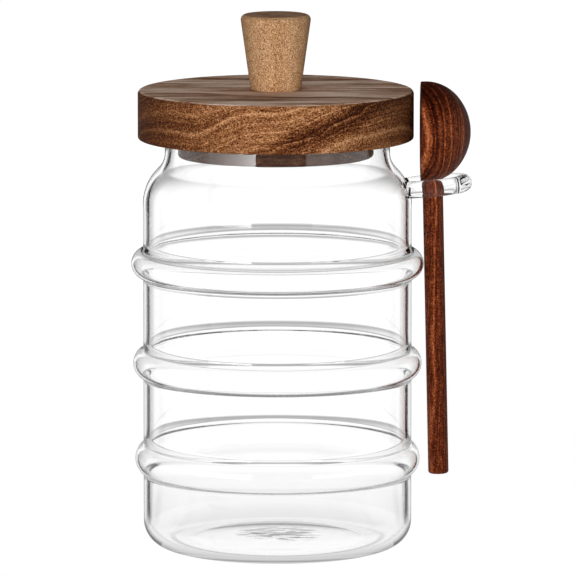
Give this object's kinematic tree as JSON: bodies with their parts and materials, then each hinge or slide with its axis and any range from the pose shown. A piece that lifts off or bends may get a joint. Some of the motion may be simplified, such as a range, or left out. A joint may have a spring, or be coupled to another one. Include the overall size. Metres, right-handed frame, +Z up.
{
  "type": "glass storage jar",
  "caption": "Clear glass storage jar with rippled wall, loose wooden lid with a tapered knob, and a wooden spoon standing in a glass loop fused to its shoulder.",
  "frame": {"origin": "centre of the jar's foot, on the plane that the foot ring stands on", "axes": "+Z up along the jar's axis; +X from the jar's axis to the glass loop and the spoon"},
  "size_m": [0.1268, 0.1088, 0.1993],
  "materials": {
    "clear_glass": "clear blown glass, smooth and glossy",
    "lid_wood": "red-brown wood, turned and oiled to a low sheen, streaked along the grain",
    "plug_wood": "dark brown wood, turned, with fine lines across its edge",
    "knob_wood": "pale beech, turned and waxed, finely flecked",
    "spoon_wood": "dark red-brown wood with curved growth bands, sanded and oiled"
  },
  "bodies": {
    "root": {"glass_jar": "clear_glass", "lid": "lid_wood", "lid_plug": "plug_wood", "lid_knob": "knob_wood", "spoon": "spoon_wood"}
  },
  "joints": []
}
